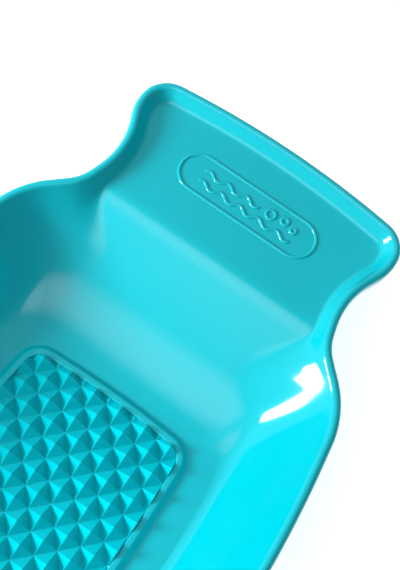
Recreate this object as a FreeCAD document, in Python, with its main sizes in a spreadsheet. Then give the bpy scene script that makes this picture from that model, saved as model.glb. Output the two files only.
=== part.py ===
import FreeCAD, Part
import math
import os

# Newborn bathtub, in millimetres. +Z is up, +Y points to the head end with the flared lip, and X = 0 is
# the plane of symmetry. The origin is on the ground, under the middle of the tub.

Vector = FreeCAD.Vector
doc = FreeCAD.newDocument("BabyBathtub")

# ---------------------------------------------------------------- driving dimensions
SIZES = {
    # rim seen from above: corner points of the outline, given from the head end backwards; the throat's
    # half-width is counted from the neck's, and the shoulder's and foot corner's from the bowl's
    "overall_length": 600.0,
    "end_corner_drop": 16.5,
    "lip_half": 128.9,
    "lip_flare_back": 46.5,
    "neck_half": 110.4,
    "neck_back": 87.6,
    "throat_out": 10.7,
    "throat_back": 130.6,
    "shoulder_in": 19.7,
    "shoulder_back": 168.1,
    "bowl_half": 178.3,
    "widest_back": 328.5,
    "foot_corner_in": 36.8,
    "foot_corner_drop": 12.7,
    # radii of those corners
    "lip_corner_radius": 27.0,
    "lip_flare_radius": 45.0,
    "neck_radius": 75.0,
    "throat_radius": 38.0,
    "shoulder_radius": 80.0,
    "foot_corner_radius": 80.0,
    "head_end_share": 0.75,
    "foot_end_share": 0.5,
    "barrel_share": 0.72,
    # heights and walls
    "rim_top": 86.5,
    "floor_level": 22.0,
    "wall": 3.0,
    "bead_radius": 4.5,
    "skirt_drop": 2.0,
    "skirt_wall": 2.5,
    "lip_recess": 10.5,
    "recess_tail_back": 148.0,
    # flat part of the lip, inside the bead
    "lip_end_inset": 13.5,
    "lip_side_inset": 16.0,
    "flare_inset": 18.0,
    "neck_inset": 17.0,
    # backrest and walls of the bowl
    "backrest_run": 1.58,
    "backrest_base_radius": 106.0,
    "crest_back": 123.5,
    "crest_radius": 18.0,
    "side_run": 0.824,
    "side_base_radius": 15.0,
    "foot_run": 0.824,
    "foot_base_radius": 15.0,
    "floor_corner_radius": 30.0,
    "middle_corner_radius": 38.0,
    "middle_height": 35.0,
    # pyramid pad; whatever stands on a surface is let into it by let_in
    "pad_back": 240.4,
    "pad_foot_ahead": 135.6,
    "pad_side_in": 94.3,
    "pad_barrel": 4.0,
    "pad_end_in": 96.3,
    "pad_corner_radius": 24.0,
    "border_width": 6.5,
    "border_height": 4.0,
    "border_gap": 3.0,
    "let_in": 1.0,
    "first_apex_back": 268.5,
    "pyramid_pitch": 17.5,
    "pyramid_height": 10.0,
    # badge on the lip
    "badge_back": 63.5,
    "badge_length": 134.0,
    "badge_width": 38.0,
    "badge_line": 2.4,
    "badge_height": 0.9,
    "wave_lift": 2.4,
    "bubble_line": 1.7,
    # feet
    "foot_side_in": 114.3,
    "foot_front_back": 270.0,
    "foot_rear_ahead": 115.0,
    "foot_radius": 14.0,
    "foot_tread": 5.0,
    "foot_taper": 1.5,
    "stem_radius": 10.0,
    "stem_length": 8.0,
    "socket_wall": 4.0,
    # drain
    "drain_ahead": 98.0,
    "collar_bore": 15.0,
    "collar_wall": 4.8,
    "collar_flange_radius": 26.0,
    "collar_flange": 2.0,
    "collar_end": 5.0,
    "gasket_width": 5.2,
    "gasket_thickness": 2.0,
    "locknut_across": 50.0,
    "locknut_height": 7.0,
    "plug_fit": 0.08,
    "plug_depth": 9.0,
    "plug_head_radius": 19.0,
    "plug_head": 2.5,
    "plug_seal_gap": 0.02,
    "ring_radius": 9.0,
    "ring_wire": 1.2,
    "ring_play": 0.5,
    "ring_rest_gap": 0.15,
    "lug_wall": 1.7,
    "lug_width": 3.0,
}


def make_sheet():
    """A sheet with one named cell for each driving dimension."""
    table = doc.addObject("Spreadsheet::Sheet", "Sizes")
    for row, (name, value) in enumerate(SIZES.items(), start=1):
        table.set("A%d" % row, name)
        table.set("B%d" % row, str(value))
        table.setAlias("B%d" % row, name)
    doc.recompute()
    return table


sheet = make_sheet()


def size(name):
    """Value of a named cell."""
    return float(sheet.get(name))


# ---------------------------------------------------------------- levels and places that follow
BEAD_LEVEL = "Sizes.rim_top - Sizes.bead_radius"
PAD_BASE = "Sizes.floor_level - Sizes.let_in"
LIP_LEVEL = "Sizes.rim_top - Sizes.lip_recess"
HEAD_Y = size("overall_length") / 2
FOOT_Y = -HEAD_Y
FLOOR_LEVEL = size("floor_level")
BEAD_RISE = size("rim_top") - size("bead_radius") - FLOOR_LEVEL
LIP_RISE = size("rim_top") - size("lip_recess") - FLOOR_LEVEL
BEAD_WIDTH = 2 * size("bead_radius")
BEAD_TRIM = 0.5
CLEAR_RISE = BEAD_RISE + size("bead_radius") + 2.0
FLAT_TURN = math.radians(0.1)
SHORTEST_REACH = 1.0


def behind_head(distance):
    """Y of a place that lies the given distance behind the head end."""
    return HEAD_Y - distance


def ahead_of_foot(distance):
    """Y of a place that lies the given distance ahead of the foot end."""
    return FOOT_Y + distance


# ---------------------------------------------------------------- outlines
def corner_arc(before, corner, after, radius):
    """Start, middle and end of the arc that rounds one corner."""
    back = (before - corner).normalize()
    ahead = (after - corner).normalize()
    turn = math.pi - back.getAngle(ahead)
    if turn < FLAT_TURN:
        return corner + back * SHORTEST_REACH, None, corner + ahead * SHORTEST_REACH
    radius = max(radius, SHORTEST_REACH / math.tan(turn / 2))
    reach = radius * math.tan(turn / 2)
    inward = (back + ahead).normalize()
    middle = corner + inward * (radius / math.cos(turn / 2) - radius)
    return corner + back * reach, middle, corner + ahead * reach


def rounded_outline(corners):
    """Arcs and straight runs round a closed chain of corners, each (x, y, radius)."""
    points = [Vector(x, y, 0) for x, y, radius in corners]
    count = len(points)
    arcs = []
    for i in range(count):
        arcs.append(corner_arc(points[i - 1], points[i], points[(i + 1) % count], corners[i][2]))
    edges = []
    for i, (start, middle, end) in enumerate(arcs):
        if middle is None:
            edges.append(Part.LineSegment(start, end))
        else:
            edges.append(Part.Arc(start, middle, end))
        edges.append(Part.LineSegment(end, arcs[(i + 1) % count][0]))
    return edges


def radius_for_share(before, corner, after, share):
    """Radius whose arc takes the given share of the shorter run beside a corner."""
    back = Vector(before[0] - corner[0], before[1] - corner[1], 0)
    ahead = Vector(after[0] - corner[0], after[1] - corner[1], 0)
    turn = math.pi - back.getAngle(ahead)
    return share * min(back.Length, ahead.Length) / math.tan(turn / 2)


def both_sides(half):
    """Full chain of corners from the half with x >= 0, head to foot."""
    mirrored = [(-x, y, radius) for x, y, radius in reversed(half) if x > 0]
    return half + mirrored


def end_corner(corner_x, corner_y, rise, direction, share):
    """Middle corner of an end edge that bows out; its arc takes a share of each run."""
    top = (0.0, corner_y + direction * rise)
    side = (corner_x, corner_y)
    other = (-corner_x, corner_y)
    return top[0], top[1], radius_for_share(other, top, side, share)


def bow_height(corner_x, rise, share):
    """How far the bowed end edge stays inside its middle corner."""
    run = math.hypot(corner_x, rise)
    half_turn = math.atan2(rise, corner_x)
    radius = share * run / math.tan(half_turn)
    return radius / math.cos(half_turn) - radius


def rim_half():
    """Corners of the rim's outer edge, from the middle of the head end to the middle of the foot end."""
    head_rise = size("end_corner_drop")
    head_share = size("head_end_share")
    head_top = HEAD_Y + bow_height(size("lip_half"), head_rise, head_share)
    foot_rise = size("foot_corner_drop")
    foot_share = size("foot_end_share")
    foot_half = size("bowl_half") - size("foot_corner_in")
    foot_top = FOOT_Y - bow_height(foot_half, foot_rise, foot_share)
    throat_half = size("neck_half") + size("throat_out")
    shoulder = (size("bowl_half") - size("shoulder_in"), behind_head(size("shoulder_back")))
    widest = (size("bowl_half"), behind_head(size("widest_back")))
    foot = (foot_half, foot_top + foot_rise)
    barrel = radius_for_share(shoulder, widest, foot, size("barrel_share"))
    return [
        end_corner(size("lip_half"), head_top - head_rise, head_rise, 1, head_share),
        (size("lip_half"), head_top - head_rise, size("lip_corner_radius")),
        (size("lip_half"), behind_head(size("lip_flare_back")), size("lip_flare_radius")),
        (size("neck_half"), behind_head(size("neck_back")), size("neck_radius")),
        (throat_half, behind_head(size("throat_back")), size("throat_radius")),
        (shoulder[0], shoulder[1], size("shoulder_radius")),
        (widest[0], widest[1], barrel),
        (foot[0], foot[1], size("foot_corner_radius")),
        end_corner(foot_half, foot_top + foot_rise, foot_rise, -1, foot_share),
    ]


RIM = rim_half()
END, LIP_CORNER, FLARE, NECK, THROAT, SHOULDER, WIDEST, FOOT_CORNER, FOOT_END = range(len(RIM))


def inset_line(first, second, distance):
    """A point and direction of the line through two corners, moved towards the inside."""
    start = Vector(first[0], first[1], 0)
    along = (Vector(second[0], second[1], 0) - start).normalize()
    inward = Vector(along.y, -along.x, 0)
    return start + inward * distance, along


def crossing(one, other):
    """Where two lines cross."""
    (start, along), (place, way) = one, other
    apart = place - start
    travel = (apart.x * way.y - apart.y * way.x) / (along.x * way.y - along.y * way.x)
    return start + along * travel


def inset_rim(distances):
    """Half outline moved inwards: one distance for each run between the rim's corners."""
    lines = []
    for i, distance in enumerate(distances):
        lines.append(inset_line(RIM[i], RIM[i + 1], distance))
    half = []
    for i, (x, y, radius) in enumerate(RIM):
        if i == 0:
            point = crossing(lines[0], (Vector(0, 0, 0), Vector(0, 1, 0)))
            step = distances[0]
        elif i == len(RIM) - 1:
            point = crossing(lines[-1], (Vector(0, 0, 0), Vector(0, 1, 0)))
            step = distances[-1]
        else:
            point = crossing(lines[i - 1], lines[i])
            step = (distances[i - 1] + distances[i]) / 2
        hollow = i in (NECK, THROAT)
        new_radius = radius + step if hollow else max(radius - step, BEAD_WIDTH)
        half.append((point.x, point.y, new_radius))
    return half


# ---------------------------------------------------------------- profiles of the bowl's walls
def base_blend(rise, run, radius):
    """Distance from a wall's foot line at a given height above the floor, with a rounded base."""
    slope = math.atan2(1.0, run)
    if rise < radius * (1 - math.cos(slope)):
        turned = math.acos(1 - rise / radius)
        return radius * math.sin(turned) - radius * math.tan(slope / 2)
    return rise * run


def side_inset(rise):
    """Inset of the side walls from the rim's outer edge."""
    if rise >= BEAD_RISE:
        return BEAD_WIDTH - BEAD_TRIM
    full = BEAD_WIDTH - BEAD_TRIM + BEAD_RISE * size("side_run")
    return full - base_blend(rise, size("side_run"), size("side_base_radius"))


def foot_inset(rise):
    """Inset of the foot wall from the rim's outer edge."""
    if rise >= BEAD_RISE:
        return BEAD_WIDTH - BEAD_TRIM
    full = BEAD_WIDTH - BEAD_TRIM + BEAD_RISE * size("foot_run")
    return full - base_blend(rise, size("foot_run"), size("foot_base_radius"))


def backrest_reach(rise):
    """Y of the backrest at a given height: rounded base, straight slope, rounded crest."""
    slope = math.atan2(1.0, size("backrest_run"))
    crest = behind_head(size("crest_back"))
    base = crest - LIP_RISE * size("backrest_run")
    crest_radius = size("crest_radius")
    below = LIP_RISE - rise
    if below < 0:
        below = 0.0
    if below < crest_radius * (1 - math.cos(slope)):
        turned = math.acos(1 - below / crest_radius)
        return crest + crest_radius * (math.tan(slope / 2) - math.sin(turned))
    return base + base_blend(rise, size("backrest_run"), size("backrest_base_radius"))


def mix(low, high, share):
    """Point or number part of the way from low to high."""
    return low + (high - low) * share


def bowl_half_section(rise, grow):
    """Half outline of the bowl at a height above the floor, made larger all round by grow."""
    side = side_inset(rise) - grow
    foot = foot_inset(rise) - grow
    head_y = backrest_reach(rise) + grow
    side_line = inset_line(RIM[SHOULDER], RIM[WIDEST], side)
    rear_line = inset_line(RIM[WIDEST], RIM[FOOT_CORNER], side)
    foot_line = inset_line(RIM[FOOT_CORNER], RIM[FOOT_END], foot)
    head_line = (Vector(0, head_y, 0), Vector(1, 0, 0))

    # lower down, the backrest meets the side in a plain rounded corner
    middle = size("middle_height")
    plain_share = min(rise / middle, 1.0)
    plain_radius = mix(size("floor_corner_radius"), size("middle_corner_radius"), plain_share)
    cut = plain_radius * (1 - math.tan(math.pi / 8))
    square = crossing(side_line, head_line)
    plain_head = square - Vector(cut, 0, 0)
    plain_side = square - side_line[1] * -cut
    plain_throat = mix(plain_head, plain_side, 0.5)

    # at the lip it follows the rim's throat and shoulder
    throat_line = inset_line(RIM[NECK], RIM[THROAT], neck_wall_inset(rise) - grow)
    shoulder_line = inset_line(RIM[THROAT], RIM[SHOULDER], side)
    rim_head = crossing(throat_line, head_line)
    rim_throat = crossing(throat_line, shoulder_line)
    rim_side = crossing(shoulder_line, side_line)

    share = min(max((rise - middle) / (LIP_RISE - middle), 0.0), 1.0)
    head = mix(plain_head, rim_head, share)
    throat = mix(plain_throat, rim_throat, share)
    shoulder = mix(plain_side, rim_side, share)
    widest = crossing(side_line, rear_line)
    foot_corner = crossing(rear_line, foot_line)
    end = crossing(foot_line, (Vector(0, 0, 0), Vector(0, 1, 0)))
    foot_radius = max(size("foot_corner_radius") - foot, size("floor_corner_radius"))
    chain = [
        ((-head.x, head.y), head, throat, mix(plain_radius, BEAD_WIDTH, share)),
        (head, throat, shoulder, size("throat_radius") / 2),
        (throat, shoulder, widest, mix(plain_radius, size("shoulder_radius") - side, share)),
    ]
    half = [(corner[0], corner[1], fitting_radius(*run)) for run in chain for corner in run[1:2]]
    barrel = radius_for_share(shoulder, widest, foot_corner, size("barrel_share"))
    half.append((widest.x, widest.y, barrel))
    half.append((foot_corner.x, foot_corner.y, foot_radius))
    other_foot = (-foot_corner.x, foot_corner.y)
    half.append((end.x, end.y, radius_for_share(other_foot, end, foot_corner, size("foot_end_share") / 2)))
    return half


def fitting_radius(before, corner, after, radius):
    """Radius of a corner, limited by the shorter run beside it."""
    shorter_run_share = 0.45
    back = Vector(before[0] - corner[0], before[1] - corner[1], 0)
    ahead = Vector(after[0] - corner[0], after[1] - corner[1], 0)
    if math.pi - back.getAngle(ahead) < FLAT_TURN:
        return radius
    return min(radius, radius_for_share(before, corner, after, shorter_run_share))


def neck_wall_inset(rise):
    """Inset of the bowl's throat from the rim, just inside the lip's own wall."""
    inside = 2.0
    share = min(max((rise - LIP_RISE) / (BEAD_RISE - LIP_RISE), 0.0), 1.0)
    return inside + mix(size("neck_inset"), BEAD_WIDTH, share)


# ---------------------------------------------------------------- document helpers
def new_body(name):
    """Empty PartDesign body with a Label of its own."""
    body = doc.addObject("PartDesign::Body", name)
    body.Label = name
    return body


def new_sketch(body, name, role, edges, height="0", turn=0.0):
    """Sketch on one of the body's origin planes, lifted by an expression and turned in that plane."""
    sketch = body.newObject("Sketcher::SketchObject", name)
    plane = [feature for feature in body.Origin.OriginFeatures if feature.Role == role][0]
    sketch.AttachmentSupport = [(plane, "")]
    sketch.MapMode = "FlatFace"
    sketch.AttachmentOffset = FreeCAD.Placement(Vector(0, 0, 0), FreeCAD.Rotation(Vector(0, 0, 1), turn))
    sketch.addGeometry(edges, False)
    sketch.setExpression("AttachmentOffset.Base.z", height)
    return sketch


def loft_through(body, name, kind, sketches, ruled=False):
    """Additive or subtractive loft through a stack of sketches."""
    loft = body.newObject("PartDesign::" + kind, name)
    loft.Profile = sketches[0]
    loft.Sections = sketches[1:]
    loft.Ruled = ruled
    doc.recompute()
    return loft


def pad(body, name, sketch, length):
    """Pad whose length is an expression."""
    feature = body.newObject("PartDesign::Pad", name)
    feature.Profile = sketch
    feature.setExpression("Length", length)
    doc.recompute()
    return feature


def cylinder(name, radius, height, place):
    """Cylinder with every size and its place bound to the sheet."""
    solid = doc.addObject("Part::Cylinder", name)
    solid.setExpression("Radius", radius)
    solid.setExpression("Height", height)
    bind_place(solid, place)
    return solid


def bind_place(solid, place):
    """Bind the three coordinates of an object's Placement."""
    for axis, expression in zip("xyz", place):
        solid.setExpression("Placement.Base." + axis, expression)


def cut(name, base, tool):
    """Base without the tool."""
    feature = doc.addObject("Part::Cut", name)
    feature.Base = base
    feature.Tool = tool
    return feature


def fuse(name, pieces):
    """All the pieces as one solid."""
    feature = doc.addObject("Part::MultiFuse", name)
    feature.Shapes = pieces
    return feature


# ---------------------------------------------------------------- the shell
def rim_profile():
    """Section of the rolled rim at the head end: bead on top, skirt hanging outside."""
    outer = HEAD_Y
    inner = HEAD_Y - BEAD_WIDTH
    bead = FLOOR_LEVEL + BEAD_RISE
    under = FLOOR_LEVEL + LIP_RISE - size("wall")
    skirt = under - size("skirt_drop")
    skirt_inner = outer - size("skirt_wall")
    corners = [
        Vector(inner, bead, 0),
        Vector(inner, under, 0),
        Vector(skirt_inner, under, 0),
        Vector(skirt_inner, skirt, 0),
        Vector(outer, skirt, 0),
        Vector(outer, bead, 0),
    ]
    edges = [Part.LineSegment(a, b) for a, b in zip(corners, corners[1:])]
    top = Vector(HEAD_Y - size("bead_radius"), size("rim_top"), 0)
    edges.append(Part.Arc(corners[-1], top, corners[0]))
    return edges


def rim_path():
    """Closed path along the rim's outer edge that starts in the middle of the head end."""
    edges = rounded_outline(both_sides(RIM))
    first = edges[0]
    start = first.StartPoint
    end = first.EndPoint
    middle = Vector(0, HEAD_Y, 0)
    quarter = first.value(first.parameter(start) * 0.25 + first.parameter(end) * 0.75)
    later = Part.Arc(middle, quarter, end)
    mirrored = Vector(-quarter.x, quarter.y, 0)
    earlier = Part.Arc(start, mirrored, middle)
    return [later] + edges[1:] + [earlier]


def make_basin():
    """Rim, lip and hollow bowl."""
    body = new_body("basin")

    # slab that carries the lip, out to the middle of the bead
    slab_outline = rounded_outline(both_sides(inset_rim([size("bead_radius")] * (len(RIM) - 1))))
    slab_sketch = new_sketch(body, "slab_outline", "XY_Plane", slab_outline, LIP_LEVEL + " - Sizes.wall")
    pad(body, "slab", slab_sketch, "Sizes.wall + Sizes.lip_recess - Sizes.bead_radius")

    # rolled rim all the way round
    path = new_sketch(body, "rim_path", "XY_Plane", rim_path(), BEAD_LEVEL)
    profile = new_sketch(body, "rim_profile", "YZ_Plane", rim_profile())
    rim = body.newObject("PartDesign::AdditivePipe", "rim")
    rim.Profile = profile
    rim.Spine = (path, ["Edge%d" % (i + 1) for i in range(path.GeometryCount)])
    doc.recompute()

    # outside of the bowl, one wall below the inside
    wall_grow = size("wall") / 2
    outside = bowl_sketches(body, "outside", bowl_rises(), wall_grow, "Sizes.floor_level - Sizes.wall")
    loft_through(body, "bowl_outside", "AdditiveLoft", outside)

    # recess of the lip
    half_way = (LIP_RISE + BEAD_RISE) / 2
    half_way_share = 0.75
    recess = []
    for rise, share in ((LIP_RISE, 0.0), (half_way, half_way_share), (BEAD_RISE, 1.0), (CLEAR_RISE, 1.0)):
        edges = rounded_outline(both_sides(recess_half(share)))
        height = "Sizes.floor_level + %.4f" % rise
        recess.append(new_sketch(body, "recess_%d" % len(recess), "XY_Plane", edges, height))
    loft_through(body, "lip_recess", "SubtractiveLoft", recess, ruled=True)

    # inside of the bowl: the hollow below the lip, then the flare into the bead
    inside = bowl_sketches(body, "inside", bowl_rises(), 0.0, "Sizes.floor_level")
    loft_through(body, "bowl_inside", "SubtractiveLoft", inside)
    flare_rises = [LIP_RISE, half_way, BEAD_RISE, CLEAR_RISE]
    flare = bowl_sketches(body, "flare", flare_rises, 0.0, "Sizes.floor_level")
    loft_through(body, "bowl_flare", "SubtractiveLoft", flare, ruled=True)
    return body


def bowl_sketches(body, name, rises, grow, level):
    """Stack of sketches with the bowl's outline at each height above the floor."""
    sketches = []
    for i, rise in enumerate(rises):
        edges = rounded_outline(both_sides_of_bowl(bowl_half_section(rise, grow)))
        height = "%s + %.4f" % (level, rise)
        sketches.append(new_sketch(body, "%s_%02d" % (name, i), "XY_Plane", edges, height))
    return sketches


def both_sides_of_bowl(half):
    """Full chain of a bowl section; its last corner is on the plane of symmetry."""
    return half + [(-x, y, radius) for x, y, radius in reversed(half[:-1])]


def bowl_rises():
    """Heights of the bowl's sections up to the lip, closer together where a wall is rounded."""
    base_shares = (0.0, 0.06, 0.2, 0.45, 1.0)
    crest_shares = (1.0, 0.4, 0.0)
    straight_share = 0.75
    slope = math.atan2(1.0, size("backrest_run"))
    base = size("backrest_base_radius") * (1 - math.cos(slope))
    crest = size("crest_radius") * (1 - math.cos(slope))
    middle = size("middle_height")
    low = [base * share for share in base_shares]
    straight = [middle * straight_share, middle, (middle + LIP_RISE) / 2]
    high = [LIP_RISE - crest * share for share in crest_shares]
    return low + straight + high


def recess_half(share):
    """Half outline of the lip's recess, from its floor (share 0) to the bead (share 1).

    Behind the neck it runs on into the hollow of the bowl and closes there.
    """
    narrow = BEAD_WIDTH - BEAD_TRIM
    floor_insets = [size("lip_end_inset"), size("lip_side_inset"), size("flare_inset"), size("neck_inset")]
    insets = [mix(inset, narrow, share) for inset in floor_insets]
    half = inset_rim(insets + [insets[-1]] * (len(RIM) - 1 - len(insets)))
    tail_y = behind_head(size("recess_tail_back"))
    throat_line = inset_line(RIM[NECK], RIM[THROAT], insets[-1])
    tail = crossing(throat_line, (Vector(0, tail_y, 0), Vector(1, 0, 0)))
    return half[:THROAT] + [(tail.x, tail.y, BEAD_WIDTH)]


def make_pad_border():
    """Low rounded border round the pyramid pad."""
    body = new_body("pad_border")
    outer_edges = rounded_outline(pad_corners(0.0))
    outer = new_sketch(body, "border_outline", "XY_Plane", outer_edges, PAD_BASE)
    pad(body, "border_block", outer, "Sizes.border_height + Sizes.let_in")
    inner_edges = rounded_outline(pad_corners(size("border_width")))
    inner = new_sketch(body, "border_inner", "XY_Plane", inner_edges, PAD_BASE)
    pocket = body.newObject("PartDesign::Pocket", "border_hollow")
    pocket.Profile = inner
    pocket.Reversed = True
    pocket.setExpression("Length", "Sizes.border_height + Sizes.let_in")
    doc.recompute()
    return body


def pad_corners(inset):
    """Corners of the pad's barrel-shaped outline, moved in by inset."""
    head = behind_head(size("pad_back")) - inset
    foot = ahead_of_foot(size("pad_foot_ahead")) + inset
    middle = (head + foot) / 2
    end_half = size("bowl_half") - size("pad_end_in") - inset
    widest = size("bowl_half") - size("pad_side_in") + size("pad_barrel") - inset
    radius = size("pad_corner_radius") - inset
    barrel = radius_for_share((end_half, head), (widest, middle), (end_half, foot), size("barrel_share"))
    half = [(end_half, head, radius), (widest, middle, barrel), (end_half, foot, radius)]
    return half + [(-x, y, r) for x, y, r in reversed(half)]


def make_pyramids():
    """Field of square pyramids: a block with two crossing families of V grooves."""
    body = new_body("pyramids")
    inset = size("border_width") + size("border_gap")
    block = new_sketch(body, "field_outline", "XY_Plane", rounded_outline(pad_corners(inset)), PAD_BASE)
    pad(body, "field_block", block, "Sizes.pyramid_height + Sizes.let_in")
    for turn in (45.0, -45.0):
        groove_field(body, turn)
    return body


def groove_field(body, turn):
    """V grooves side by side, cut along one diagonal of the pad."""
    pitch = size("pyramid_pitch")
    top = FLOOR_LEVEL + size("pyramid_height")
    reach = behind_head(size("pad_back")) - ahead_of_foot(size("pad_foot_ahead"))
    count = int(reach / pitch) + 1
    clear = 1.0
    edges = []
    for i in range(-count, count):
        left = i * pitch
        right = left + pitch
        middle = left + pitch / 2
        if i == -count:
            edges.append(Part.LineSegment(Vector(left, top + clear, 0), Vector(left, top, 0)))
        edges.append(Part.LineSegment(Vector(left, top, 0), Vector(middle, FLOOR_LEVEL, 0)))
        edges.append(Part.LineSegment(Vector(middle, FLOOR_LEVEL, 0), Vector(right, top, 0)))
    end = count * pitch
    edges.append(Part.LineSegment(Vector(end, top, 0), Vector(end, top + clear, 0)))
    edges.append(Part.LineSegment(Vector(end, top + clear, 0), Vector(-end, top + clear, 0)))
    sketch = body.newObject("Sketcher::SketchObject", "grooves_" + ("left" if turn > 0 else "right"))
    plane = [feature for feature in body.Origin.OriginFeatures if feature.Role == "XY_Plane"][0]
    sketch.AttachmentSupport = [(plane, "")]
    sketch.MapMode = "FlatFace"
    upright = FreeCAD.Rotation(Vector(1, 0, 0), 90)
    around = FreeCAD.Rotation(Vector(0, 0, 1), turn)
    centre = Vector(0, pyramid_origin(), 0)
    sketch.AttachmentOffset = FreeCAD.Placement(centre, around.multiply(upright))
    sketch.addGeometry(edges, False)
    pocket = body.newObject("PartDesign::Pocket", "cut_" + sketch.Name)
    pocket.Profile = sketch
    pocket.Midplane = True
    pocket.Length = 4 * reach
    doc.recompute()


def pyramid_origin():
    """Y of the apex nearest the pad's middle on the plane of symmetry, whole rows from the first one."""
    row = size("pyramid_pitch") * math.sqrt(2)
    middle = (behind_head(size("pad_back")) + ahead_of_foot(size("pad_foot_ahead"))) / 2
    first_apex = behind_head(size("first_apex_back"))
    rows = round((first_apex - middle) / row)
    return first_apex - rows * row


def stadium(half_length, half_width):
    """Straight-sided outline with round ends, centred on the badge."""
    middle = behind_head(size("badge_back"))
    bend = half_length - half_width
    right = [
        Vector(bend, middle + half_width, 0),
        Vector(half_length, middle, 0),
        Vector(bend, middle - half_width, 0),
    ]
    left = [Vector(-p.x, p.y, 0) for p in reversed(right)]
    return [
        Part.Arc(*right),
        Part.LineSegment(right[2], left[0]),
        Part.Arc(*left),
        Part.LineSegment(left[2], right[0]),
    ]


def make_badge():
    """Raised plain badge: a stadium line round two waves and three bubbles."""
    body = new_body("badge")
    half_length = size("badge_length") / 2
    half_width = size("badge_width") / 2
    line = size("badge_line")
    edges = stadium(half_length, half_width) + stadium(half_length - line, half_width - line)
    edges += bubble_rings()
    for wave in WAVES:
        edges += wave_band(*wave)
    sketch = new_sketch(body, "badge_lines", "XY_Plane", edges, LIP_LEVEL + " - Sizes.let_in")
    pad(body, "badge_relief", sketch, "Sizes.badge_height + Sizes.let_in")
    return body


# waves: left end, right end, height above the badge's middle and number of half waves
WAVES = [(-46.0, 46.0, -6.5, 10), (-46.0, 9.2, 4.5, 6)]


def wave_band(left_end, right_end, height, half_waves):
    """Closed band of alternating arcs along the badge."""
    line = size("badge_line")
    middle = behind_head(size("badge_back")) + height
    step = (right_end - left_end) / half_waves
    upper = []
    lower = []
    for i in range(half_waves):
        left = left_end + i * step
        side = size("wave_lift") if i % 2 == 0 else -size("wave_lift")
        for row, offset in ((upper, line / 2), (lower, -line / 2)):
            start = Vector(left, middle + offset, 0)
            top = Vector(left + step / 2, middle + offset + side, 0)
            end = Vector(left + step, middle + offset, 0)
            row.append(Part.Arc(start, top, end))
    left_edge = Part.LineSegment(lower[0].StartPoint, upper[0].StartPoint)
    right_edge = Part.LineSegment(upper[-1].EndPoint, lower[-1].EndPoint)
    return upper + [right_edge] + lower + [left_edge]


# bubbles beside the upper wave: place from the middle of the badge to the right and up, and outer radius
BUBBLES = [(20.5, 5.0, 5.0), (33.5, 7.0, 4.0), (43.5, 4.0, 3.2)]


def bubble_rings():
    """Rings of different sizes."""
    rings = []
    for across, lift, radius in BUBBLES:
        centre = Vector(across, behind_head(size("badge_back")) + lift, 0)
        rings.append(Part.Circle(centre, Vector(0, 0, 1), radius))
        rings.append(Part.Circle(centre, Vector(0, 0, 1), radius - size("bubble_line")))
    return rings


FRONT_FEET_Y = "Sizes.overall_length / 2 - Sizes.foot_front_back"
REAR_FEET_Y = "Sizes.foot_rear_ahead - Sizes.overall_length / 2"
FEET_LEFT_X = "Sizes.foot_side_in - Sizes.bowl_half"
FEET_RIGHT_X = "Sizes.bowl_half - Sizes.foot_side_in"
FOOT_PLACES = {
    "front_left": (FEET_LEFT_X, FRONT_FEET_Y),
    "front_right": (FEET_RIGHT_X, FRONT_FEET_Y),
    "rear_left": (FEET_LEFT_X, REAR_FEET_Y),
    "rear_right": (FEET_RIGHT_X, REAR_FEET_Y),
}
DRAIN_Y = "Sizes.drain_ahead - Sizes.overall_length / 2"
UNDERSIDE = "Sizes.floor_level - Sizes.wall"
COLLAR_RADIUS = "Sizes.collar_bore + Sizes.collar_wall"


def make_shell():
    """The one moulding: basin, pad, badge and foot sockets, with the drain hole."""
    pieces = [make_basin(), make_pad_border(), make_pyramids(), make_badge()]
    bores = []
    for name, (x, y) in FOOT_PLACES.items():
        height = UNDERSIDE + " - Sizes.foot_tread + Sizes.wall / 2"
        wall = "Sizes.stem_radius + Sizes.socket_wall"
        pieces.append(cylinder("socket_" + name, wall, height, (x, y, "Sizes.foot_tread")))
        depth = "Sizes.stem_length + Sizes.let_in"
        bottom = "Sizes.foot_tread - Sizes.let_in"
        bores.append(cylinder("bore_" + name, "Sizes.stem_radius", depth, (x, y, bottom)))
    below = UNDERSIDE + " - Sizes.wall"
    bores.append(cylinder("drain_hole", COLLAR_RADIUS, "3 * Sizes.wall", ("0", DRAIN_Y, below)))
    moulded = fuse("moulded", pieces)
    shell = cut("tub_shell", moulded, fuse("holes", bores))
    return shell


# ---------------------------------------------------------------- drain and feet
def make_collar():
    """Flanged bush through the floor."""
    flange = cylinder("collar_flange_disc", "Sizes.collar_flange_radius", "Sizes.collar_flange",
                      ("0", DRAIN_Y, "Sizes.floor_level"))
    tube_height = "Sizes.floor_level - Sizes.collar_end + Sizes.collar_flange"
    tube = cylinder("collar_tube", COLLAR_RADIUS, tube_height, ("0", DRAIN_Y, "Sizes.collar_end"))
    bore = cylinder("collar_way", "Sizes.collar_bore", "Sizes.floor_level + Sizes.collar_flange",
                    ("0", DRAIN_Y, "Sizes.collar_end - Sizes.let_in"))
    return cut("drain_collar", fuse("collar_solid", [flange, tube]), bore)


def make_gasket():
    """Rubber ring under the floor."""
    place = ("0", DRAIN_Y, UNDERSIDE + " - Sizes.gasket_thickness")
    disc = cylinder("gasket_disc", COLLAR_RADIUS + " + Sizes.gasket_width", "Sizes.gasket_thickness", place)
    hole = cylinder("gasket_hole", COLLAR_RADIUS, "Sizes.gasket_thickness", place)
    return cut("drain_gasket", disc, hole)


def make_locknut():
    """Hexagonal nut under the gasket."""
    place = ("0", DRAIN_Y, UNDERSIDE + " - Sizes.gasket_thickness - Sizes.locknut_height")
    hexagon = doc.addObject("Part::Prism", "locknut_hexagon")
    hexagon.Polygon = 6
    hexagon.setExpression("Circumradius", "Sizes.locknut_across / 2 / cos(30)")
    hexagon.setExpression("Height", "Sizes.locknut_height")
    bind_place(hexagon, place)
    hole = cylinder("locknut_hole", COLLAR_RADIUS, "Sizes.locknut_height", place)
    return cut("drain_locknut", hexagon, hole)


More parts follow.
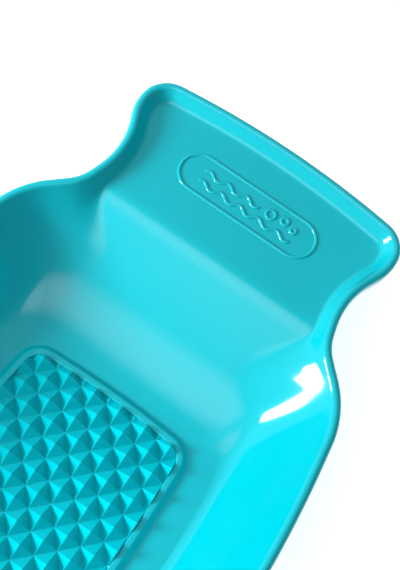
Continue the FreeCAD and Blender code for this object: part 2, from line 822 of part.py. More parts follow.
PLUG_SEAT = "Sizes.floor_level + Sizes.collar_flange + Sizes.plug_seal_gap"
PLUG_TOP = PLUG_SEAT + " + Sizes.plug_head"
RING_Y = DRAIN_Y + " + Sizes.ring_radius"
RING_Z = PLUG_TOP + " + Sizes.ring_wire + Sizes.ring_rest_gap"


def make_plug():
    """Stopper with a flat head and a lug for its pull ring."""
    depth = "Sizes.plug_depth"
    stem = cylinder("plug_stem", "Sizes.collar_bore - Sizes.plug_fit", depth,
                    ("0", DRAIN_Y, PLUG_SEAT + " - Sizes.plug_depth"))
    head = cylinder("plug_head_disc", "Sizes.plug_head_radius", "Sizes.plug_head", ("0", DRAIN_Y, PLUG_SEAT))
    hole_radius = "Sizes.ring_wire + Sizes.ring_play"
    lug_radius = hole_radius + " + Sizes.lug_wall"
    eye = cross_cylinder("lug_eye", lug_radius, "Sizes.lug_width")
    hole = cross_cylinder("lug_hole", hole_radius, "Sizes.lug_width + 2")
    return cut("drain_plug", fuse("plug_solid", [stem, head, eye]), hole)


def cross_cylinder(name, radius, length):
    """Cylinder along X, centred on the pull ring's hinge."""
    solid = doc.addObject("Part::Cylinder", name)
    solid.setExpression("Radius", radius)
    solid.setExpression("Height", length)
    solid.Placement = FreeCAD.Placement(Vector(0, 0, 0), FreeCAD.Rotation(Vector(0, 1, 0), 90))
    bind_place(solid, ("-(" + length + ") / 2", RING_Y, RING_Z))
    return solid


def make_ring():
    """Pull ring that lies on the plug and swings in its lug."""
    ring = doc.addObject("Part::Torus", "plug_pull_ring")
    ring.setExpression("Radius1", "Sizes.ring_radius")
    ring.setExpression("Radius2", "Sizes.ring_wire")
    bind_place(ring, ("0", DRAIN_Y, RING_Z))
    return ring


def make_foot(name, x, y):
    """Rubber foot: a tapered tread and a stem in its socket."""
    tread = doc.addObject("Part::Cone", "tread_" + name)
    tread.setExpression("Radius1", "Sizes.foot_radius - Sizes.foot_taper")
    tread.setExpression("Radius2", "Sizes.foot_radius")
    tread.setExpression("Height", "Sizes.foot_tread")
    bind_place(tread, (x, y, "0"))
    stem = cylinder("stem_" + name, "Sizes.stem_radius", "Sizes.stem_length", (x, y, "Sizes.foot_tread"))
    return fuse("rubber_foot_" + name, [tread, stem])


# ---------------------------------------------------------------- build, check and write
def build():
    """Every sub-part, named as its file will be."""
    nodes = [make_shell(), make_collar(), make_gasket(), make_locknut(), make_plug(), make_ring()]
    for name, (x, y) in FOOT_PLACES.items():
        nodes.append(make_foot(name, x, y))
    doc.recompute()
    return nodes


def check(nodes):
    """Stop if any object failed or any sub-part isn't one sound solid."""
    for item in doc.Objects:
        if "Invalid" in item.State or "Error" in item.State:
            raise RuntimeError(item.Label + " did not build")
    for node in nodes:
        shape = node.Shape
        if shape.isNull() or not shape.isValid() or len(shape.Solids) != 1:
            raise RuntimeError(node.Label + " is not one sound solid")


def write(nodes):
    """One STEP file for each sub-part."""
    os.makedirs("parts", exist_ok=True)
    for node in nodes:
        node.Shape.exportStep("parts/%s.step" % node.Label)
        print("%-28s %10.1f mm3" % (node.Label, node.Shape.Volume))


all_nodes = build()
check(all_nodes)
write(all_nodes)
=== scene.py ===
import math

import bmesh
import bpy
import numpy as np
from mathutils import Matrix, Vector, geometry


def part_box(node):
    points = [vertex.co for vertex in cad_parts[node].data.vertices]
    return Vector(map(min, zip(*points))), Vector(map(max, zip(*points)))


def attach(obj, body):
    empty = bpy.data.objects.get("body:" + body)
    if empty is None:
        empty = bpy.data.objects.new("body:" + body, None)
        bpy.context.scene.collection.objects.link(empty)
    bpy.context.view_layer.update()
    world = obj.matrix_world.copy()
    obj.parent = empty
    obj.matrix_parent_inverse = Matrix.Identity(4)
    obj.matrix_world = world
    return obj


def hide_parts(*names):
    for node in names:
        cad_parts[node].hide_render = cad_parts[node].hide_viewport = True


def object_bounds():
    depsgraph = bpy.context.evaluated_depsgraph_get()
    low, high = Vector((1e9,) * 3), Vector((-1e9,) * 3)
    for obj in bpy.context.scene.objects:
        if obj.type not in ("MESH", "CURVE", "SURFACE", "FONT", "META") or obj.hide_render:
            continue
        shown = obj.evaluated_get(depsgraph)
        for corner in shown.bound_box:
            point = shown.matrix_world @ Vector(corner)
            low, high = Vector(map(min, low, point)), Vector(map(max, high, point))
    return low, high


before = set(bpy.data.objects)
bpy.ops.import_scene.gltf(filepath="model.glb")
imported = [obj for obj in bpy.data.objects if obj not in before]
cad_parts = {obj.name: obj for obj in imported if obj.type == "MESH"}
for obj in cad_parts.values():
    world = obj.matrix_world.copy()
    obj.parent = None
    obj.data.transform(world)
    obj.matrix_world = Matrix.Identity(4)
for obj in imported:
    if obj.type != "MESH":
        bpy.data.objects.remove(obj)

# Newborn bathtub. Lengths are in millimetres in the tub's own frame (+Z up, +Y towards the head end)
# until a mesh is made, and a rise is a height above the bath's inner floor.

MM = 0.001
TINY = 1e-6
cad_box = [list(corner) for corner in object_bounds()]
HEAD_Y = cad_box[1][1] / MM
FOOT_Y = cad_box[0][1] / MM
RIM_TOP = cad_box[1][2] / MM

FLOOR_LEVEL = 22.0
BEAD_RADIUS = 4.5
LIP_RECESS = 10.5
BEAD_RISE = RIM_TOP - BEAD_RADIUS - FLOOR_LEVEL
LIP_RISE = RIM_TOP - LIP_RECESS - FLOOR_LEVEL
WALL = 3.0
SIDE_RUN = 0.78
SKIRT_DEPTH = 11.0
SKIRT_RISE = BEAD_RISE - SKIRT_DEPTH
SKIRT_WALL = 2.4

CREST_BACK = 123.5
BACKREST_RUN = 1.58
CREST_SOFTNESS = 5.0
LIP_CORNER_SOFTNESS = 2.0
BOWL_CORNER_SOFTNESS = 36.0
SIDE_BASE_SOFTNESS = 8.5
BACKREST_BASE_SOFTNESS = 18.5

# corners of the rim seen from above: (half-width, distance behind the head end, radius); the end edges
# bow out by a rise
END_RISE = 16.5
FOOT_RISE = 12.7
LIP_HALF = 128.9
FOOT_HALF = 141.5
RIM_CORNERS = [
    (LIP_HALF, None, 27.0),
    (LIP_HALF, 46.5, 45.0),
    (110.4, 87.6, 75.0),
    (121.1, 130.6, 38.0),
    (158.6, 168.1, 80.0),
    (178.28, 328.5, None),
    (FOOT_HALF, None, 80.0),
]
HEAD_SHARE = 0.75
FOOT_SHARE = 0.5
BARREL_SHARE = 0.72

# where the softness of a corner changes: a share of the lip's rise, and a difference of two heights
LIP_BLEND_START = 0.5
BASE_BLEND = 12.0

# spacing of the points along outlines: longest step and widest turn
FINE_STEPS = (2.0, math.radians(3))
RIM_STEPS = (3.6, math.radians(5))
PAD_STEPS = (3.0, math.radians(6))
BADGE_STEPS = (2.0, math.radians(5))
ROUND_COUNT = 96


# ---------------------------------------------------------------- outlines as runs and arcs
def share_radius(before, corner, after, share):
    """Radius whose arc takes the given share of the shorter run beside a corner."""
    back = np.subtract(before, corner)
    ahead = np.subtract(after, corner)
    lengths = np.linalg.norm(back), np.linalg.norm(ahead)
    turn = math.pi - math.acos(np.dot(back, ahead) / (lengths[0] * lengths[1]))
    return share * min(lengths) / math.tan(turn / 2)


def rim_corners():
    """Whole chain of the rim's corners, clockwise from the middle of the head end."""
    def bow(half, rise, share):
        run = math.hypot(half, rise)
        turn = math.atan2(rise, half)
        return share * run / math.tan(turn) * (1 / math.cos(turn) - 1)

    head_top = HEAD_Y + bow(LIP_HALF, END_RISE, HEAD_SHARE)
    foot_top = FOOT_Y - bow(FOOT_HALF, FOOT_RISE, FOOT_SHARE)
    half = [(x, None if back is None else HEAD_Y - back, radius) for x, back, radius in RIM_CORNERS]
    half[0] = (LIP_HALF, head_top - END_RISE, half[0][2])
    half[-1] = (FOOT_HALF, foot_top + FOOT_RISE, half[-1][2])
    barrel = share_radius(half[-3][:2], half[-2][:2], half[-1][:2], BARREL_SHARE)
    half[-2] = (half[-2][0], half[-2][1], barrel)
    head_corner = half[0][:2]
    foot_corner = half[-1][:2]
    head_radius = share_radius((-head_corner[0], head_corner[1]), (0, head_top), head_corner, HEAD_SHARE)
    foot_radius = share_radius((-foot_corner[0], foot_corner[1]), (0, foot_top), foot_corner, FOOT_SHARE)
    return mirrored([(0.0, head_top, head_radius)] + half + [(0.0, foot_top, foot_radius)])


def mirrored(half):
    """Chain of corners with its other half, without repeating corners on the middle plane."""
    return half + [(-x, y, radius) for x, y, radius in reversed(half) if x > 0]


class Outline:
    """Closed clockwise outline of straight runs and arcs."""

    def __init__(self, corners):
        points = [np.array(corner[:2], float) for corner in corners]
        count = len(points)
        self.arcs = []
        for i, corner in enumerate(points):
            back = points[i - 1] - corner
            ahead = points[(i + 1) % count] - corner
            back /= np.linalg.norm(back)
            ahead /= np.linalg.norm(ahead)
            turn = math.pi - math.acos(np.clip(np.dot(back, ahead), -1, 1))
            bend = 1 if back[0] * ahead[1] - back[1] * ahead[0] > 0 else -1
            radius = corners[i][2]
            reach = radius * math.tan(turn / 2)
            inward = (back + ahead) / np.linalg.norm(back + ahead)
            centre = corner + inward * radius / math.cos(turn / 2)
            self.arcs.append((corner + back * reach, corner + ahead * reach, centre, radius, turn, bend))

    def pieces(self):
        """Arcs and runs in order."""
        count = len(self.arcs)
        for i, arc in enumerate(self.arcs):
            yield ("arc", arc)
            yield ("run", (arc[1], self.arcs[(i + 1) % count][0]))

    def sample(self, longest, widest_turn):
        """Points and inward normals along the outline."""
        points = []
        normals = []
        for kind, piece in self.pieces():
            if kind == "arc":
                start, end, centre, radius, turn, bend = piece
                steps = max(int(math.ceil(radius * turn / longest)), int(math.ceil(turn / widest_turn)))
                if radius < TINY:
                    steps = 1
                first = math.atan2(start[1] - centre[1], start[0] - centre[0])
                for k in range(steps):
                    angle = first - bend * turn * k / steps
                    out = np.array([math.cos(angle), math.sin(angle)])
                    points.append(centre + out * radius)
                    normals.append(-out * bend)
            else:
                start, end = piece
                length = np.linalg.norm(end - start)
                steps = max(int(math.ceil(length / longest)), 1)
                along = (end - start) / length
                for k in range(steps):
                    points.append(start + along * length * k / steps)
                    normals.append(np.array([along[1], -along[0]]))
        return np.array(points), np.array(normals)

    def distance(self, points):
        """Distance from each point to the outline."""
        best = np.full(len(points), np.inf)
        for kind, piece in self.pieces():
            if kind == "arc":
                start, end, centre, radius, turn, _ = piece
                away = points - centre
                length = np.linalg.norm(away, axis=1)
                middle = (start + end) / 2 - centre
                middle /= np.linalg.norm(middle)
                within = away @ middle >= length * math.cos(turn / 2)
                best = np.where(within, np.minimum(best, np.abs(length - radius)), best)
            else:
                start, end = piece
                along = (end - start) / np.linalg.norm(end - start)
                travel = np.clip((points - start) @ along, 0, np.linalg.norm(end - start))
                nearest = start + travel[:, None] * along
                best = np.minimum(best, np.linalg.norm(points - nearest, axis=1))
        return best


def along_outline(points):
    """Distance run along closed points, from 0 to 1."""
    steps = np.linalg.norm(np.roll(points, -1, axis=0) - points, axis=1)
    return np.concatenate([[0], np.cumsum(steps)]) / steps.sum()


# ---------------------------------------------------------------- the form of the bath
RIM = Outline(rim_corners())

WALL_SLOPE = math.atan2(1.0, SIDE_RUN)
LEAVE_ANGLE = math.pi / 2 - WALL_SLOPE
BEAD_LEAVE_INSET = BEAD_RADIUS * (1 + math.cos(LEAVE_ANGLE))
BEAD_LEAVE_RISE = BEAD_RISE + BEAD_RADIUS * math.sin(LEAVE_ANGLE)


def soft_max(a, b, softness):
    """The higher of two heights, with a rounded valley between them."""
    near = np.clip(softness - np.abs(a - b), 0, None) / softness
    return np.maximum(a, b) + near * near * softness / 4


def soft_min(a, b, softness):
    """The lower of two heights, with a rounded ridge between them."""
    return -soft_max(-a, -b, softness)


def smooth_step(low, high, value):
    """0 below low, 1 above high, and smooth between them."""
    share = np.clip((value - low) / (high - low), 0, 1)
    return share * share * (3 - 2 * share)


def bath_rise(points):
    """Rise of the inner surface at points inside the bead."""
    inset = RIM.distance(points)
    wall = BEAD_LEAVE_RISE - (inset - BEAD_LEAVE_INSET) / SIDE_RUN
    slope = LIP_RISE + (points[:, 1] - (HEAD_Y - CREST_BACK)) / BACKREST_RUN
    backrest = soft_min(slope, LIP_RISE, CREST_SOFTNESS)
    at_lip = smooth_step(LIP_RISE * LIP_BLEND_START, LIP_RISE, backrest)
    corner = BOWL_CORNER_SOFTNESS + (LIP_CORNER_SOFTNESS - BOWL_CORNER_SOFTNESS) * at_lip
    walls = soft_max(wall, backrest, corner)
    by_backrest = smooth_step(-BASE_BLEND, BASE_BLEND, slope - wall)
    base = SIDE_BASE_SOFTNESS + (BACKREST_BASE_SOFTNESS - SIDE_BASE_SOFTNESS) * by_backrest
    return soft_max(walls, 0.0, base)


def bath_normals(points):
    """Upward normals of the inner surface."""
    step = 0.2
    east = bath_rise(points + [step, 0]) - bath_rise(points - [step, 0])
    north = bath_rise(points + [0, step]) - bath_rise(points - [0, step])
    normals = np.stack([-east / (2 * step), -north / (2 * step), np.ones(len(points))], axis=1)
    return normals / np.linalg.norm(normals, axis=1)[:, None]


# ---------------------------------------------------------------- mesh helpers
class Surface:
    """Vertices and faces of one piece, gathered row by row, in millimetres."""

    def __init__(self):
        self.vertices = []
        self.faces = []
        self.finishes = []
        self.finish = 0
        self.sharp = set()

    def row(self, points):
        """Adds a row of points and returns its indices."""
        start = len(self.vertices)
        self.vertices.extend([tuple(point) for point in points])
        return list(range(start, start + len(points)))

    def face(self, corners):
        """Adds one face in the present finish."""
        self.faces.append(tuple(corners))
        self.finishes.append(self.finish)

    def bridge(self, one, other):
        """Faces between two closed rows of equal length, or from a closed row to a single point."""
        if len(one) == len(other):
            for i in range(len(one)):
                j = (i + 1) % len(one)
                self.face((one[i], one[j], other[j], other[i]))
            return
        tip, ring = (one[0], other) if len(one) == 1 else (other[0], one)
        for i in range(len(ring)):
            self.face((ring[i], ring[(i + 1) % len(ring)], tip))

    def fill(self, loops):
        """Flat triangles inside the first loop and outside the others."""
        indices = [index for loop in loops for index in loop]
        flat = [Vector(self.vertices[index][:2]) for index in indices]
        edges = []
        start = 0
        for loop in loops:
            count = len(loop)
            edges.extend([(start + i, start + (i + 1) % count) for i in range(count)])
            start += count
        places, _, triangles, origins, _, _ = geometry.delaunay_2d_cdt(flat, edges, [], 1, TINY)
        outer, *holes = [[self.vertices[index][:2] for index in loop] for loop in loops]
        for triangle in triangles:
            middle = sum((places[k] for k in triangle), Vector((0, 0))) / 3
            if inside(middle, outer) and not any(inside(middle, hole) for hole in holes):
                self.face([indices[origins[k][0]] for k in triangle])

    def piece(self, name, body, slot_name, materials, nodes=()):
        """Object with these faces, facing outwards, riding on a body and standing for CAD nodes."""
        mesh = bpy.data.meshes.new(name)
        mesh.from_pydata([tuple(np.asarray(v) * MM) for v in self.vertices], [], self.faces)
        for polygon, finish in zip(mesh.polygons, self.finishes):
            polygon.material_index = finish
        sharp = mesh.attributes.new("sharp_edge", "BOOLEAN", "EDGE")
        for edge in mesh.edges:
            sharp.data[edge.index].value = tuple(sorted(edge.vertices)) in self.sharp
        form = bmesh.new()
        form.from_mesh(mesh)
        bmesh.ops.recalc_face_normals(form, faces=form.faces)
        for face in form.faces:
            face.smooth = True
        form.to_mesh(mesh)
        form.free()
        piece = bpy.data.objects.new(name, mesh)
        bpy.context.scene.collection.objects.link(piece)
        for material in materials:
            mesh.materials.append(material)
        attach(piece, body)
        for node in nodes:
            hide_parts(node)
        shading = piece.modifiers.new("weighted_normals", "WEIGHTED_NORMAL")
        shading.keep_sharp = True
        return piece


def inside(point, loop):
    """Whether a point lies inside a closed loop."""
    found = False
    for (ax, ay), (bx, by) in zip(loop, loop[1:] + loop[:1]):
        if (ay > point[1]) != (by > point[1]) and point[0] < ax + (bx - ax) * (point[1] - ay) / (by - ay):
            found = not found
    return found


def circle(centre, radius, count):
    """Clockwise circle of points."""
    angles = -2 * math.pi * np.arange(count) / count
    return np.stack([centre[0] + radius * np.cos(angles), centre[1] + radius * np.sin(angles)], axis=1)


def at_rise(points, rise):
    """Flat points lifted to a rise above the bath's floor."""
    level = np.full(len(points), FLOOR_LEVEL) + rise
    return np.column_stack([points, level])


def node_box(name):
    """Lowest and highest corner of a CAD node, in millimetres."""
    low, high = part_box(name)
    return np.array(low) / MM, np.array(high) / MM


def node_centre(name):
    """Middle of a CAD node seen from above, in millimetres."""
    low, high = node_box(name)
    return (low + high)[:2] / 2


LATHE_TURN = math.radians(14)


def lathe(surface, centre, corners, longest=4.0, reshape=None, count=ROUND_COUNT):
    """Solid turned about a vertical axis.

    Its section is a closed chain of corners, each (radius, height, rounding).
    """
    section, _ = Outline(corners).sample(longest, LATHE_TURN)
    on_axis = [radius < TINY for radius, height in section]
    rows = []
    for k, (radius, height) in enumerate(section):
        if on_axis[k] and on_axis[k - 1] and on_axis[(k + 1) % len(section)]:
            continue
        if on_axis[k]:
            rows.append(surface.row([(*centre, height)]))
            continue
        angles = 2 * math.pi * np.arange(count) / count
        radii = np.full(count, radius) if reshape is None else reshape(angles, radius, height)
        x = centre[0] + radii * np.cos(angles)
        y = centre[1] + radii * np.sin(angles)
        rows.append(surface.row(np.stack([x, y, np.full(count, height)], axis=1)))
    for one, other in zip(rows, rows[1:] + rows[:1]):
        if len(one) > 1 or len(other) > 1:
            surface.bridge(one, other)


# ---------------------------------------------------------------- the moulded shell
PAD_CORNERS = [(0.0, 61.4, None), (82.0, 56.0, 24.0), (88.0, -54.0, None), (82.0, -164.4, 24.0)]
PAD_SHARE = 0.7
FLOOR_CORNERS = [
    (0.0, 60.7, None),
    (101.0, 60.0, 40.0),
    (110.5, -28.0, None),
    (80.0, -233.0, 28.0),
    (0.0, -236.0, None),
]
FLOOR_SHARE = 0.35
BORDER_WIDTH = 10.2
BORDER_SLOPE = 6.0
BORDER_RISE = 4.0
DRAIN_HOLE = 19.9
FAR_AHEAD = (0.0, 1e3)

# places on the right half of the rim, and where each one's row ends on the floor's outline
FLOOR_MATCH = [
    ((122.0, 283.0), (40.0, 60.0)),
    ((114.5, 205.0), (66.0, 60.0)),
    ((127.0, 162.0), (84.0, 56.0)),
    ((153.0, 132.0), (97.0, 38.0)),
    ((171.0, -28.0), (108.0, -28.0)),
    ((150.0, -230.0), (85.0, -205.0)),
    ((120.0, -282.0), (66.0, -232.0)),
]


def closed_chain(corners, share):
    """Chain of corners in which a missing radius takes a share of the run beside it."""
    chain = mirrored(corners)
    count = len(chain)
    done = []
    for i, (x, y, radius) in enumerate(chain):
        if radius is None:
            radius = share_radius(chain[i - 1][:2], (x, y), chain[(i + 1) % count][:2], share)
        done.append((x, y, radius))
    return done


def floor_points(rim_share):
    """Points on the floor's outline, matched to places along the rim."""
    outline = Outline(closed_chain(FLOOR_CORNERS, FLOOR_SHARE))
    points, _ = outline.sample(*FINE_STEPS)
    shares = along_outline(points)
    closed = np.vstack([points, points[:1]])
    start = nearest_share(points, shares, FAR_AHEAD)
    rim_marks = [0.0]
    floor_marks = [0.0]
    rim_samples, _ = RIM.sample(*FINE_STEPS)
    rim_shares = along_outline(rim_samples)
    rim_start = nearest_share(rim_samples, rim_shares, FAR_AHEAD)
    for rim_place, floor_place in FLOOR_MATCH:
        rim_marks.append((nearest_share(rim_samples, rim_shares, rim_place) - rim_start) % 1.0)
        floor_marks.append((nearest_share(points, shares, floor_place) - start) % 1.0)
    half_rim = np.array(rim_marks + [0.5])
    half_floor = np.array(floor_marks + [0.5])
    whole_rim = np.concatenate([half_rim, 1 - half_rim[-2::-1]])
    whole_floor = np.concatenate([half_floor, 1 - half_floor[-2::-1]])
    wanted = np.interp((rim_share - rim_start) % 1.0, whole_rim, whole_floor)
    places = (wanted + start) % 1.0
    return np.stack([np.interp(places, shares, closed[:, axis]) for axis in (0, 1)], axis=1)


def nearest_share(points, shares, place):
    """Share of the way along an outline at its nearest point to a place."""
    return shares[np.argmin(np.linalg.norm(points - np.array(place), axis=1))]


def make_shell():
    """Basin, rolled rim and pad border as one closed skin, with the drain hole through it."""
    surface = Surface()
    rim, inward = RIM.sample(*RIM_STEPS)
    rim_share = along_outline(rim)[:-1]
    floor = floor_points(rim_share)
    start = rim + inward * BEAD_LEAVE_INSET
    rows = 72
    flat_rows = 2
    under_step = 3

    inner = []
    outer = []
    for k in range(rows + 1):
        share = k / rows
        points = floor + (start - floor) * share
        rises = bath_rise(points)
        normals = bath_normals(points)
        if k < flat_rows:
            rises = np.zeros(len(points))
            normals = np.tile([0.0, 0.0, 1.0], (len(points), 1))
        if k == rows:
            rises = np.full(len(points), BEAD_LEAVE_RISE)
        top = at_rise(points, rises)
        inner.append(surface.row(top))
        outer.append(top - normals * WALL)

    for one, other in zip(inner, inner[1:]):
        surface.bridge(one, other)
    last = inner[-1]
    for inset, rise in rim_profile():
        row = surface.row(at_rise(rim + inward * inset, rise))
        surface.bridge(last, row)
        last = row
    surface.finish = 1
    for points in outer[-1 - under_step::-under_step]:
        under = surface.row(points)
        surface.bridge(last, under)
        last = under

    hole = circle(node_centre("drain_collar"), DRAIN_HOLE, ROUND_COUNT)
    top_hole = surface.row(at_rise(hole, 0.0))
    low_hole = surface.row(at_rise(hole, -WALL))
    surface.bridge(low_hole, top_hole)
    surface.fill([under, low_hole])
    surface.finish = 0
    surface.fill([inner[0], pad_border(surface), top_hole])
    return surface


def rim_profile():
    """(inset, rise) from the inner side of the bead over its top, round the skirt and into the roll."""
    profile = []
    turns = 14
    for k in range(1, turns + 1):
        angle = LEAVE_ANGLE + (math.pi - LEAVE_ANGLE) * k / turns
        profile.append((BEAD_RADIUS * (1 + math.cos(angle)), BEAD_RISE + BEAD_RADIUS * math.sin(angle)))
    skirt = SKIRT_RISE
    edge = 0.8
    bevel = edge * 0.3
    profile += [(0.0, BEAD_RISE - drop) for drop in (3.5, 7.0)]
    profile += [(0.0, skirt + edge), (bevel, skirt + bevel), (edge, skirt)]
    profile += [(SKIRT_WALL - edge, skirt), (SKIRT_WALL - bevel, skirt + bevel), (SKIRT_WALL, skirt + edge)]
    profile += [(SKIRT_WALL, BEAD_RISE - drop) for drop in (6.0, 2.0)]
    hollow = BEAD_RADIUS - SKIRT_WALL
    for k in range(turns // 2 + 1):
        angle = math.pi - (math.pi - LEAVE_ANGLE) * k / (turns // 2)
        profile.append((BEAD_RADIUS + hollow * math.cos(angle), BEAD_RISE + hollow * math.sin(angle)))
    return profile


def pad_border(surface):
    """Soft border round the pyramid pad, down to the valley floor inside it; returns its outer loop."""
    outline = Outline(closed_chain(PAD_CORNERS, PAD_SHARE))
    points, inward = outline.sample(*PAD_STEPS)
    toe = 0.15
    rows = [(0.0, 0.0), (toe, 0.0)]
    steps = 9
    for k in range(1, steps + 1):
        share = k / steps
        rows.append((toe + BORDER_SLOPE * share, BORDER_RISE * share * share * (3 - 2 * share)))
    # the inner edge, rounded, then the drop to the valley floor: (from the edge, from the top)
    edge = [(-0.9, 0.05), (-0.45, 0.0), (-0.12, -0.35), (0.0, -0.9), (0.3, -BORDER_RISE)]
    rows += [(BORDER_WIDTH + across, BORDER_RISE + lift) for across, lift in edge]
    loops = [surface.row(at_rise(points + inward * inset, rise)) for inset, rise in rows]
    for one, other in zip(loops, loops[1:]):
        surface.bridge(one, other)
    surface.fill([loops[-1], pyramid_field(surface, outline)])
    return loops[0]


# the pyramids' square bases lie at 45 degrees, and an apex is at (0, FIRST_APEX)
PITCH = 17.5
PYRAMID_RISE = 10.0
FIRST_APEX = HEAD_Y - 268.5
ROOT_HALF = math.sqrt(0.5)
RIDGE_SOFTNESS = 0.35
VALLEY_SOFTNESS = 0.16
FIELD_GAP = 0.35
CUT_REACH = 1e-5


def pyramid_rise(x, y):
    """Rise of the field of pyramids, with softened ridges and valleys."""
    along = ((x + y - FIRST_APEX) / math.sqrt(2) + PITCH / 2) % PITCH - PITCH / 2
    across = ((x - y + FIRST_APEX) / math.sqrt(2) + PITCH / 2) % PITCH - PITCH / 2
    from_axis = float(soft_max(abs(along), abs(across), RIDGE_SOFTNESS))
    edge = max(PITCH / 2 - from_axis, 0.0)
    if edge < VALLEY_SOFTNESS:
        edge = edge * edge / (2 * VALLEY_SOFTNESS) + VALLEY_SOFTNESS / 2
    return edge * PYRAMID_RISE / (PITCH / 2)


def cut_lines(form, direction, start, step, offsets):
    """Cuts a flat form along every line of a family: across a direction, evenly spaced."""
    travel = [vertex.co.dot(direction) for vertex in form.verts]
    first = math.floor((min(travel) - start) / step)
    last = math.ceil((max(travel) - start) / step)
    for i in range(first, last + 1):
        for offset in offsets:
            place = direction * (start + i * step + offset)
            everything = form.verts[:] + form.edges[:] + form.faces[:]
            bmesh.ops.bisect_plane(form, geom=everything, dist=CUT_REACH, plane_co=place, plane_no=direction)


def pyramid_field(surface, pad):
    """Pyramids inside the border, cut off by its outline; returns the loop where they meet the floor."""
    points, inward = pad.sample(*PAD_STEPS)
    form = bmesh.new()
    corners = [form.verts.new((*point, 0)) for point in points + inward * (BORDER_WIDTH + FIELD_GAP)]
    form.faces.new(corners)
    for side in (1, -1):
        direction = Vector((ROOT_HALF, side * ROOT_HALF, 0))
        valley = side * FIRST_APEX * ROOT_HALF + PITCH / 2
        cut_lines(form, direction, valley, PITCH, (-VALLEY_SOFTNESS, 0.0, VALLEY_SOFTNESS))
    ridge = RIDGE_SOFTNESS * ROOT_HALF
    for direction, apex in ((Vector((1, 0, 0)), 0.0), (Vector((0, 1, 0)), FIRST_APEX)):
        cut_lines(form, direction, apex, PITCH * ROOT_HALF, (-ridge, 0.0, ridge))
    form.verts.index_update()
    rises = [(v.co.x, v.co.y, FLOOR_LEVEL + pyramid_rise(v.co.x, v.co.y)) for v in form.verts]
    places = surface.row(rises)
    for face in form.faces:
        surface.face([places[vertex.index] for vertex in face.verts])
    loop = boundary_loop(form)
    top = [places[index] for index in loop]
    low = surface.row([(*surface.vertices[index][:2], FLOOR_LEVEL) for index in top])
    surface.bridge(top, low)
    for one, other in zip(top, top[1:] + top[:1]):
        surface.sharp.add(tuple(sorted((one, other))))
    form.free()
    return low


def boundary_loop(form):
    """Indices of the vertices round a flat form's edge, in order."""
    following = {}
    for edge in form.edges:
        if edge.is_boundary:
            side = edge.link_loops[0]
            following[side.vert.index] = side.link_loop_next.vert.index
    start = next(iter(following))
    loop = [start]
    while following[loop[-1]] != start:
        loop.append(following[loop[-1]])
    return loop


# ---------------------------------------------------------------- relief on the lip and sockets below
BADGE_Y = HEAD_Y - 63.5
BADGE_HALF = (67.0, 19.0)
LINE_WIDTH = 2.4
LINE_HEIGHT = 0.9
LINE_FLANK = 0.9
LINE_SETTLE = 0.04
LINE_ROOT = 0.4
LEAST_END = 0.02
# waves: left end, right end, height above the badge's middle and number of crests
WAVES = [(-46.0, 46.0, -6.5, 5), (-46.0, 9.2, 4.5, 3)]
WAVE_LIFT = 2.4
WAVE_STEPS = 24
# bubbles: place from the badge's middle to the right and up, and radius of the line's middle
BUBBLES = [(20.5, 5.0, 4.15), (33.5, 7.0, 3.15), (43.5, 4.0, 2.35)]
BUBBLE_COUNT = 48
SOCKET_RADIUS = 14.0
SOCKET_BORE = 10.0
SOCKET_DEPTH = 8.0
SOCKET_FLARE = 2.2
SOCKET_LET_IN = 0.3
FEET = ["front_left", "front_right", "rear_left", "rear_right"]


def moulded_line(surface, path, closed):
    """Low line in relief along a flat path: a soft-edged band, with round ends where it is open."""
    path = np.array(path)
    ahead = np.roll(path, -1, axis=0)
    behind = np.roll(path, 1, axis=0)
    if not closed:
        ahead[-1] = path[-1]
        behind[0] = path[0]
    along = ahead - behind
    along /= np.linalg.norm(along, axis=1)[:, None]
    left = np.stack([-along[:, 1], along[:, 0]], axis=1)
    gone = np.concatenate([[0], np.cumsum(np.linalg.norm(np.diff(path, axis=0), axis=1))])
    root = LIP_RISE - LINE_ROOT
    half = LINE_WIDTH / 2
    sides = [-half - LINE_FLANK / 2, -half, -half + LINE_FLANK / 2, -half + LINE_FLANK]
    sides = sides + [0.0] + [-side for side in reversed(sides)]
    rows = []
    for k, point in enumerate(path):
        to_end = half if closed else min(gone[k], gone[-1] - gone[k], half)
        full = math.sqrt(max(1 - (1 - to_end / half) ** 2, LEAST_END ** 2))
        top = []
        for side in sides:
            lift = 1 - smooth_step(half - LINE_FLANK / 2, half + LINE_FLANK / 2, abs(side))
            rise = LIP_RISE + LINE_HEIGHT * lift * full - LINE_SETTLE
            top.append((*(point + left[k] * side * full), rise))
        base = [(*top[-1][:2], root), (*top[0][:2], root)]
        rows.append(surface.row([(x, y, FLOOR_LEVEL + rise) for x, y, rise in top + base]))
    for one, other in zip(rows, rows[1:] + (rows[:1] if closed else [])):
        surface.bridge(one, other)
    if not closed:
        surface.face(rows[0])
        surface.face(rows[-1])


def make_badge(surface):
    """Plain badge: a stadium line round two waves and three bubbles."""
    half_length, half_width = BADGE_HALF
    reach = (half_length - LINE_WIDTH / 2, half_width - LINE_WIDTH / 2)
    round_end = reach[1] - 0.01
    sides = ((-1, 1), (1, 1), (1, -1), (-1, -1))
    frame_corners = [(side * reach[0], BADGE_Y + up * reach[1], round_end) for side, up in sides]
    path, _ = Outline(frame_corners).sample(*BADGE_STEPS)
    moulded_line(surface, path, True)
    for left, right, height, crests in WAVES:
        steps = np.linspace(0, 1, WAVE_STEPS * crests + 1)
        lift = WAVE_LIFT * np.sin(2 * math.pi * crests * steps)
        wave = np.stack([left + (right - left) * steps, BADGE_Y + height + lift], axis=1)
        moulded_line(surface, wave, False)
    for across, lift, radius in BUBBLES:
        moulded_line(surface, circle((across, BADGE_Y + lift), radius, BUBBLE_COUNT), True)


